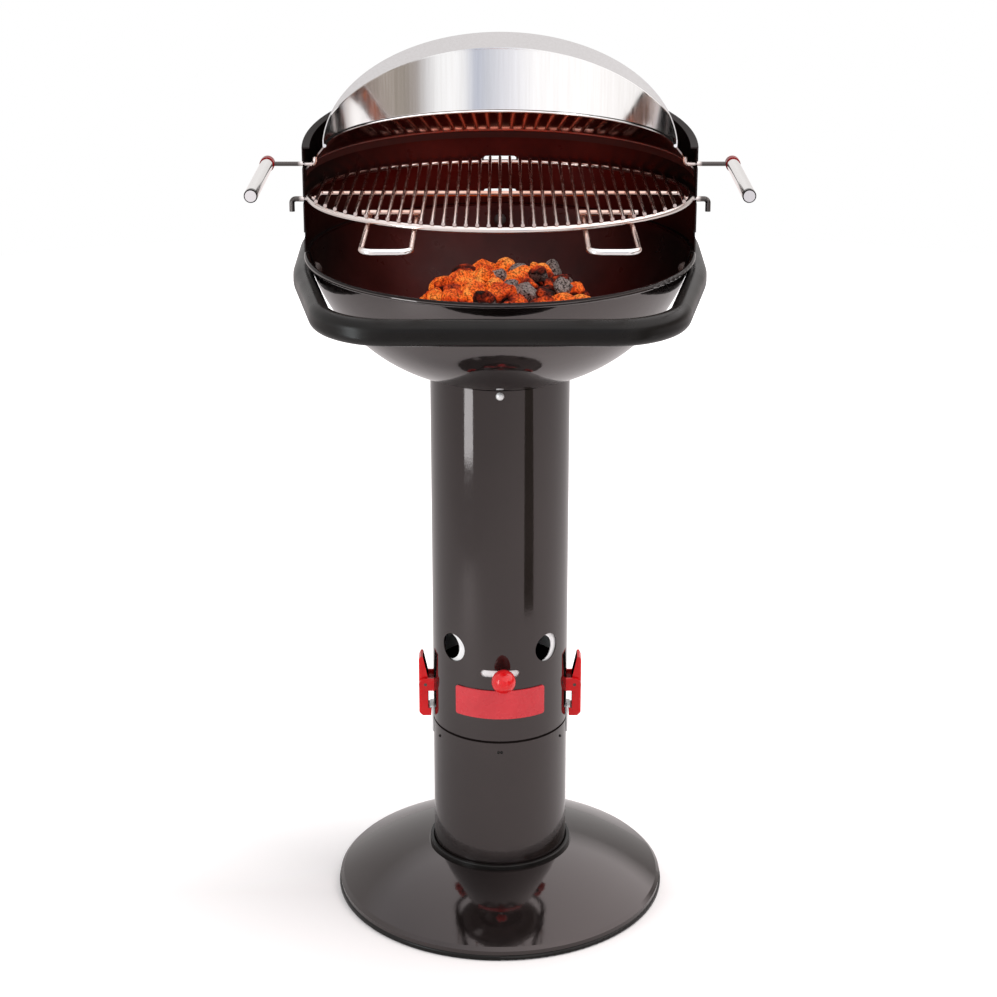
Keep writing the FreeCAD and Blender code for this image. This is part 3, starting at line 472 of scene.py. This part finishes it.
def polished_steel(name="polished_steel", lean=None, painted_top_shade=None, front_y=None):
    """Polished sheet with faint upright streaks. It may have a lean of its shading, a painted shade on the
    faces that look up, and a black ring behind the face at its front."""
    material, tree, shader = new_material(name)
    streaks = grain(tree, *STREAKS)
    tone = two_tone(tree, streaks, POLISHED_TONES)
    # Painted shade on the faces that look up.
    if painted_top_shade is not None:
        tone = mix(tree, spread(tree, facing(tree, "Z"), 1.0, painted_top_shade, *HOOD_LIP), BLACK, tone)
    if front_y is not None:
        ring = spread(tree, along(tree, "Y"), 1.0, 0.0, front_y + RING_W, front_y + RING_W + RING_EDGE)
        ring = math_node(tree, "MULTIPLY", ring, spread(tree, facing(tree, "Y"), 0.0, 1.0, *GRIP_END))
        tone = mix(tree, ring, tone, RING_TONE)
    normal = bumps(tree, *POLISHED_BUMPS)
    if lean is not None:
        normal = leaned(tree, normal, lean)
    set_shader(tree, shader, Base_Color=tone, Metallic=1.0, Normal=normal,
               Roughness=spread(tree, streaks, *POLISHED_ROUGH))
    return material


def skirt_steel():
    """Sheet with a painted red glow of the embers' light in the middle, and a dark, dull lower flange."""
    material, tree, shader = new_material("skirt_steel")
    flange_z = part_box("hood_skirt")[0].z + SKIRT_FLANGE_H
    steel = two_tone(tree, grain(tree, *STREAKS), SKIRT_TONES)
    # Painted red glow of the embers in the middle of the sheet.
    steel = mix(tree, spread(tree, aside(tree), 1.0, 0.0, *SKIRT_GLOW_SPAN), steel, SKIRT_GLOW_TONE)
    # Below the flange's top the sheet is dark, dull and not metallic.
    above_flange = spread(tree, along(tree, "Z"), 0.0, 1.0, flange_z, flange_z + SKIRT_FLANGE_FADE)
    set_shader(tree, shader, Base_Color=mix(tree, above_flange, SKIRT_FLANGE_TONE, steel), Metallic=above_flange,
               Roughness=blend(tree, above_flange, *SKIRT_ROUGH), Specular_IOR_Level=0.1)
    return material


def chrome_wire(name="chrome_wire", fade=WIRE_FADE, front_y=None):
    """Chromed wire with a heat tint that fades away from the axis; the tint is partly real and partly a
    painted red glow of the embers. Where a front is given, the tint lies on all behind the bend at that
    front instead. Outside the screen the wire has a painted shade that makes it dark."""
    material, tree, shader = new_material(name)
    # The tint is partly heat tint and partly a painted red glow of the embers.
    if front_y is None:
        heat = spread(tree, axis_reach(tree), 1.0, 0.0, *fade)
    else:
        heat = spread(tree, along(tree, "Y"), 0.0, LOOP_TINT_AND_GLOW, front_y + LOOP_BEND, front_y + 2 * LOOP_BEND)
    heat = math_node(tree, "MULTIPLY", heat, uneven(tree, *WIRE_PATCHES))
    # Painted shade: the wire outside the screen is dark.
    ends = spread(tree, aside(tree), 0.0, 1.0, *SCREEN_OUT)
    tone = mix(tree, ends, ramp(tree, heat, *WIRE_TINT_AND_GLOW_STOPS), WIRE_END_SHADE_TONE)
    set_shader(tree, shader, Base_Color=tone, Metallic=1.0, Roughness=uneven(tree, *WIRE_ROUGH),
               Normal=bumps(tree, *WIRE_BUMPS))
    return material


def fire_steel():
    """Dull steel with spots of rust."""
    material, tree, shader = new_material("fire_steel")
    tone = ramp(tree, grain(tree, *FIRE_STEEL_GRAIN), *FIRE_STEEL_STOPS)
    set_shader(tree, shader, Base_Color=tone, Metallic=0.6, Roughness=uneven(tree, *FIRE_STEEL_ROUGH),
               Normal=bumps(tree, *FIRE_STEEL_BUMPS))
    return material


def galvanised_steel():
    """Zinc with spangles."""
    material, tree, shader = new_material("galvanised_steel")
    cells = {"Vector": place(tree), "Scale": SPANGLE_SCALE}
    spangle = add_node(tree, "ShaderNodeTexVoronoi", cells).outputs["Distance"]
    tone = ramp(tree, spangle, *zip(SPANGLE_SPAN, ZINC_TONES))
    set_shader(tree, shader, Base_Color=tone, Metallic=0.25,
               Roughness=spread(tree, spangle, *ZINC_ROUGH, *SPANGLE_SPAN))
    return material


def red_plastic(name="red_plastic", inner_shaded=False, depth=1.0, shine=0.16):
    """Glossy red, darker for a smaller depth. With inner_shaded set, a piece has a painted shade where it
    faces the column: black, and without shine.
    """
    material, tree, shader = new_material(name)
    tones = [[channel * depth for channel in tone] for tone in RED_TONES]
    tone = two_tone(tree, grain(tree, *RED_GRAIN), tones)
    if inner_shaded:
        # Painted shade: black and without shine where the piece faces the column.
        clear = spread(tree, outward(tree), 0.0, 1.0, *INNER_SHADE_SPAN)
        tone = mix(tree, clear, INNER_SHADE_TONE, tone)
        shine = math_node(tree, "MULTIPLY", clear, shine)
    set_shader(tree, shader, Base_Color=tone, Roughness=uneven(tree, *RED_ROUGH),
               Normal=bumps(tree, *RED_BUMPS), Coat_Weight=shine, Coat_Roughness=0.05,
               Specular_IOR_Level=shine)
    return material


def charcoal_glow():
    """Embers that glow by a lump's heat, under a speckle of black crust, with grey ash on the cool ones."""
    material, tree, shader = new_material("charcoal")
    # The attribute holds each point's heat together with the lumps' painted shade.
    heat = add_node(tree, "ShaderNodeAttribute", attribute_name="lump_heat_and_shade").outputs["Fac"]
    crust = grain(tree, *CRUST_GRAIN, rough=0.7)
    clear = spread(tree, crust, 0.0, 1.0, *CRUST_CLEAR)
    warmth = math_node(tree, "ADD", heat, spread(tree, grain(tree, *COAL_PATCHES), *COAL_PATCH_HEAT))
    glow = ramp(tree, warmth, *GLOW_STOPS)
    embers = mix(tree, clear, mix(tree, CRUST_SHADE, glow, BLACK), glow)
    char = mix(tree, clear, CHAR_TONE, ramp(tree, warmth, *ASH_STOPS))
    set_shader(tree, shader, Base_Color=char, Roughness=0.9, Emission_Color=embers, Emission_Strength=1.1,
               Specular_IOR_Level=0.2, Normal=bump(tree, crust, *CRUST_BUMP))
    return material


MATERIALS = {
    "black_enamel": black_enamel(),
    "black_plastic": plain_look("black_plastic", PLASTIC_GRAIN, PLASTIC_TONES, PLASTIC_ROUGH, PLASTIC_BUMPS),
    "matt_black": plain_look("matt_black", MATT_GRAIN, MATT_TONES, MATT_ROUGH, MATT_BUMPS,
                             Specular_IOR_Level=0.20),
    "polished_steel": polished_steel(),
    "chrome_wire": chrome_wire(),
    "fire_steel": fire_steel(),
    "galvanised_steel": galvanised_steel(),
    "red_plastic": red_plastic(),
    "red_plate": plain_look("red_plate", PLATE_GRAIN, PLATE_TONES, PLATE_ROUGH, PLATE_BUMPS),
    "charcoal": charcoal_glow(),
}
SCREEN_ENAMEL = fired_enamel("screen_enamel", sheen=0.04, gloss=0.25)
# The levers carry a painted shade on their faces towards the column.
LEVER_PLASTIC = red_plastic("lever_plastic", inner_shaded=True)
COLLAR_PLASTIC = red_plastic("collar_plastic", depth=0.26, shine=0.04)
LOOP_WIRE = chrome_wire("loop_wire", front_y=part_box("grate_loop_left")[0].y)
GRIP_STEEL = polished_steel("grip_steel", front_y=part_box("grip_left")[0].y)
OWN_LOOKS = {             # nodes that don't wear their slot's own material
    # The hood's lip carries a painted shade.
    "hood": polished_steel("hood_steel", lean=0.18, painted_top_shade=0.42),
    "hood_skirt": skirt_steel(),
    "wind_screen": SCREEN_ENAMEL,
    "screen_back": SCREEN_ENAMEL,
    # The bowl's inside has a stronger painted red glow of the embers (rust).
    "bowl": fired_enamel("bowl_enamel", sheen=0.14, gloss=0.75, rust=1.5),
    "rim_bolts": MATERIALS["fire_steel"],
    "grate_bars": chrome_wire("bar_wire", fade=BAR_FADE),
    "grate_loop_left": LOOP_WIRE,
    "grate_loop_right": LOOP_WIRE,
    "grip_left": GRIP_STEEL,
    "grip_right": GRIP_STEEL,
    "grip_collar_left": COLLAR_PLASTIC,
    "grip_collar_right": COLLAR_PLASTIC,
    "damper_knob": red_plastic("knob_plastic", shine=0.32),
    "latch_lever_left": LEVER_PLASTIC,
    "latch_lever_right": LEVER_PLASTIC,
    "latch_pin_left": MATERIALS["fire_steel"],
    "latch_pin_right": MATERIALS["fire_steel"],
    # The pot's top has a painted shade in the seam under the column.
    "ash_pot": black_enamel("pot_enamel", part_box("column_tube")[0].z - SEAM_SHADE_H),
    "column_collar": MATERIALS["matt_black"],
    "base_rim_trim": MATERIALS["matt_black"],
}


# Dressing the CAD nodes

def wear(piece, material):
    piece.data.materials.clear()
    piece.data.materials.append(material)


def soften(piece):
    """Smooth shading, with sharp edges kept sharp."""
    piece.data.shade_smooth()
    piece.data.set_sharp_from_angle(angle=SMOOTH_ANGLE)


def dress_nodes():
    for subpart in frame["record"]["subparts"]:
        piece = NODES[subpart["node"]]
        wear(piece, OWN_LOOKS.get(subpart["node"], MATERIALS[subpart["material_slot"]]))
        soften(piece)


# Charcoal and rivets

def add_object(name, mesh):
    """New object from a mesh under construction, which is freed."""
    data = bpy.data.meshes.new(name)
    mesh.to_mesh(data)
    mesh.free()
    made = bpy.data.objects.new(name, data)
    bpy.context.scene.collection.objects.link(made)
    return made


def unit(draw):
    """Random direction."""
    return Vector((draw.gauss(0, 1), draw.gauss(0, 1), draw.gauss(0, 1))).normalized()


def lump(mesh, where, half, heat, draw):
    """One broken lump of charcoal: a ball cut by random planes and roughened, with its heat and a painted
    shade on its points. A hot lump has a painted shade below, which dims its glow."""
    heats = mesh.verts.layers.float["lump_heat_and_shade"]
    cuts = [(unit(draw), draw.uniform(*COAL_FACET_REACH)) for _ in range(COAL_FACETS)]
    shape = Vector([half * draw.uniform(*span) for span in COAL_SHAPE])
    turn = Matrix.Rotation(draw.uniform(0, math.tau), 3, unit(draw))
    seed = unit(draw) * COAL_NOISE_REACH
    for vert in bmesh.ops.create_icosphere(mesh, subdivisions=COAL_SUBDIVISIONS, radius=1.0)["verts"]:
        way = vert.co.normalized()
        reach = min([1.0] + [depth / way.dot(face) for face, depth in cuts if way.dot(face) > depth])
        rough = sum(rise * noise.noise(way * scale + seed) for scale, rise in COAL_ROUGH)
        vert.co = turn @ Vector(c * s for c, s in zip(way * (reach + rough), shape)) + where
        # Painted shade: the glow of a hot lump is dimmed on its lower faces.
        cool = COAL_UNDER_SHADE * max(0.0, COAL_SHADE_BELOW - (turn @ way).z)
        vert[heats] = heat - cool if heat > 0 else heat


def build_charcoal():
    """A heap of lumps on the solid's outline, over a darker bed that shows between them."""
    draw = random.Random(COAL_SEED)
    low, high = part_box("charcoal")
    middle = (low + high) / 2
    base_r = (high.x - low.x) / 2
    heap_h = high.z - low.z
    top_r = base_r * COAL_TOP_SHARE
    mesh = bmesh.new()
    mesh.verts.layers.float.new("lump_heat_and_shade")
    for index in range(COAL_COUNT):
        half = draw.uniform(*COAL_HALF)
        r = (base_r - half) * math.sqrt((index + 0.5) / COAL_COUNT)
        crown = heap_h - r * r / (2 * COAL_CROWN_R)
        slope = heap_h * (base_r - r) / (base_r - top_r)
        z = low.z + min(crown, slope) - COAL_SINK * half - draw.uniform(0.0, COAL_DROP)
        angle = index * GOLDEN_ANGLE
        x = middle.x + r * math.cos(angle)
        y = middle.y + r * math.sin(angle)
        where = Vector((x, y, max(z, low.z + half)))
        lump(mesh, where, half, draw.choice(COAL_HEATS), draw)
        inner = Vector((middle.x, middle.y, low.z + half))
        below = where + (inner - where).normalized() * COAL_LAYER
        lump(mesh, below, half, draw.uniform(*COAL_BED_HEAT), draw)
    piece = add_object("charcoal_lumps", mesh)
    wear(piece, MATERIALS["charcoal"])
    soften(piece)
    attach(piece, "stand")
    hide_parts("charcoal")


def build_rivets():
    """Small dark rivet heads round the top of the ash pot."""
    seam_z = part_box("column_tube")[0].z
    mesh = bmesh.new()
    for bearing in RIVET_BEARINGS_DEG:
        way = Vector((math.sin(math.radians(bearing)), -math.cos(math.radians(bearing)), 0.0))
        where = Matrix.Translation(way * POT_R + Vector((0.0, 0.0, seam_z - RIVET_DROP)))
        bmesh.ops.create_icosphere(mesh, subdivisions=RIVET_SUBDIVISIONS, radius=RIVET_R, matrix=where)
    piece = add_object("pot_rivets", mesh)
    wear(piece, MATERIALS["matt_black"])
    soften(piece)
    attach(piece, "stand")


# Stage, light and camera

def build_floor():
    """Pale floor that takes the object's shadow."""
    mesh = bmesh.new()
    bmesh.ops.create_circle(mesh, cap_ends=True, radius=FLOOR_R, segments=FLOOR_SEGMENTS)
    floor = add_object("floor", mesh)
    material = bpy.data.materials.new("floor")
    tree = bare_tree(material)
    seen = add_node(tree, "ShaderNodeLightPath").outputs["Is Camera Ray"]
    lift = spread(tree, axis_reach(tree), FLOOR_LIFT, FLOOR_FAR_LIFT, *FLOOR_FADE)
    lift = math_node(tree, "ADD", lift, spread(tree, along(tree, "Y"), 0.0, FLOOR_BACK_LIFT, *FLOOR_BACK))
    lift = math_node(tree, "MULTIPLY", seen, lift)
    tone = two_tone(tree, grain(tree, FLOOR_GRAIN), FLOOR_TONES)
    matte = add_node(tree, "ShaderNodeBsdfDiffuse", {"Color": tone})
    light = add_node(tree, "ShaderNodeEmission", {"Color": WHITE, "Strength": lift})
    both = add_node(tree, "ShaderNodeAddShader", {0: matte.outputs[0], 1: light.outputs[0]})
    add_node(tree, "ShaderNodeOutputMaterial", {"Surface": both.outputs[0]})
    wear(floor, material)


def build_flag():
    """A dark flag stood at the front on the right, which shows only in the reflections."""
    mesh = bmesh.new()
    corners = [(-FLAG_W / 2, 0.0), (FLAG_W / 2, 0.0), (FLAG_W / 2, FLAG_H), (-FLAG_W / 2, FLAG_H)]
    mesh.faces.new([mesh.verts.new((x, 0.0, z)) for x, z in corners])
    flag = add_object("flag", mesh)
    bearing = math.radians(FLAG_BEARING_DEG)
    flag.location = (FLAG_REACH * math.sin(bearing), -FLAG_REACH * math.cos(bearing), 0.0)
    flag.rotation_euler = (0.0, 0.0, bearing)
    material = bpy.data.materials.new("flag")
    tree = bare_tree(material)
    light = add_node(tree, "ShaderNodeEmission", {"Color": FLAG_TONE, "Strength": 1.0})
    add_node(tree, "ShaderNodeOutputMaterial", {"Surface": light.outputs[0]})
    wear(flag, material)
    flag.visible_camera = False
    flag.visible_diffuse = False
    flag.visible_shadow = False


def build_world():
    """White behind the object, and a studio's walls and a broad ceiling light in its reflections."""
    world = bpy.data.worlds.new("studio")
    bpy.context.scene.world = world
    tree = bare_tree(world)
    way = add_node(tree, "ShaderNodeTexCoord").outputs["Generated"]
    parts = add_node(tree, "ShaderNodeSeparateXYZ", {"Vector": way}).outputs
    bearing = math_node(tree, "ARCTAN2", parts["X"], math_node(tree, "MULTIPLY", parts["Y"], -1.0))
    bearing = spread(tree, bearing, 0.0, 1.0, -math.pi, math.pi)
    walls = ramp(tree, bearing, *[((degrees + 180) / 360, tone) for degrees, tone in WALL_TONES])
    ceiling = mix(tree, spread(tree, parts["X"], 0.0, 1.0, *CEILING_ACROSS), CEILING_LEFT, CEILING_RIGHT)
    rise = math_node(tree, "MULTIPLY_ADD", parts["X"], CEILING_TILT, parts["Z"])
    walls = mix(tree, spread(tree, rise, 0.0, 1.0, *CEILING_EDGE), walls, ceiling)
    walls = mix(tree, spread(tree, parts["Z"], 1.0, 0.0, *GROUND_EDGE), walls, GROUND_TONE)
    path = add_node(tree, "ShaderNodeLightPath").outputs
    mirrored = math_node(tree, "MAXIMUM", path["Is Glossy Ray"], path["Is Transmission Ray"])
    seen = mix(tree, mirrored, AMBIENT, walls)
    seen = mix(tree, path["Is Camera Ray"], seen, WHITE)
    sky = add_node(tree, "ShaderNodeBackground", {"Color": seen, "Strength": 1.0})
    add_node(tree, "ShaderNodeOutputWorld", {"Surface": sky.outputs[0]})


def area_light(name, where, aim_at, size, watts, colour, in_reflections):
    data = bpy.data.lights.new(name, "AREA")
    data.shape = "RECTANGLE"
    data.size, data.size_y = size
    data.energy = watts
    data.color = colour
    lamp = bpy.data.objects.new(name, data)
    lamp.location = where
    lamp.rotation_euler = (Vector(aim_at) - Vector(where)).to_track_quat("-Z", "Y").to_euler()
    lamp.visible_glossy = in_reflections
    bpy.context.scene.collection.objects.link(lamp)
    return lamp


def build_lights():
    """The studio's lamps, and a red one over the charcoal for the light that its embers throw up."""
    for lamp in LAMPS:
        area_light(*lamp)
    low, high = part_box("charcoal")
    middle = (low + high) / 2
    over = Vector((middle.x, middle.y, high.z + EMBER_LAMP_LIFT))
    above = over + Vector((0.0, 0.0, 1.0))
    embers = area_light("embers", over, above, EMBER_LAMP_SIZE, EMBER_LAMP_WATTS, EMBER_LAMP_COLOUR, False)
    embers.visible_camera = False


def build_camera():
    data = bpy.data.cameras.new("camera")
    data.sensor_width = SENSOR_MM
    data.lens = LENS_MM
    data.shift_x = -AXIS_SHIFT_PX / IMAGE_PX
    camera = bpy.data.objects.new("camera", data)
    camera.location = CAMERA_PLACE
    camera.rotation_euler = (math.radians(90.0 - CAMERA_DOWN_DEG), 0.0, 0.0)
    bpy.context.scene.collection.objects.link(camera)
    bpy.context.scene.camera = camera


dress_nodes()
build_charcoal()
build_rivets()
build_floor()
build_flag()
build_world()
build_lights()
build_camera()
bpy.context.scene.view_settings.view_transform = "Standard"
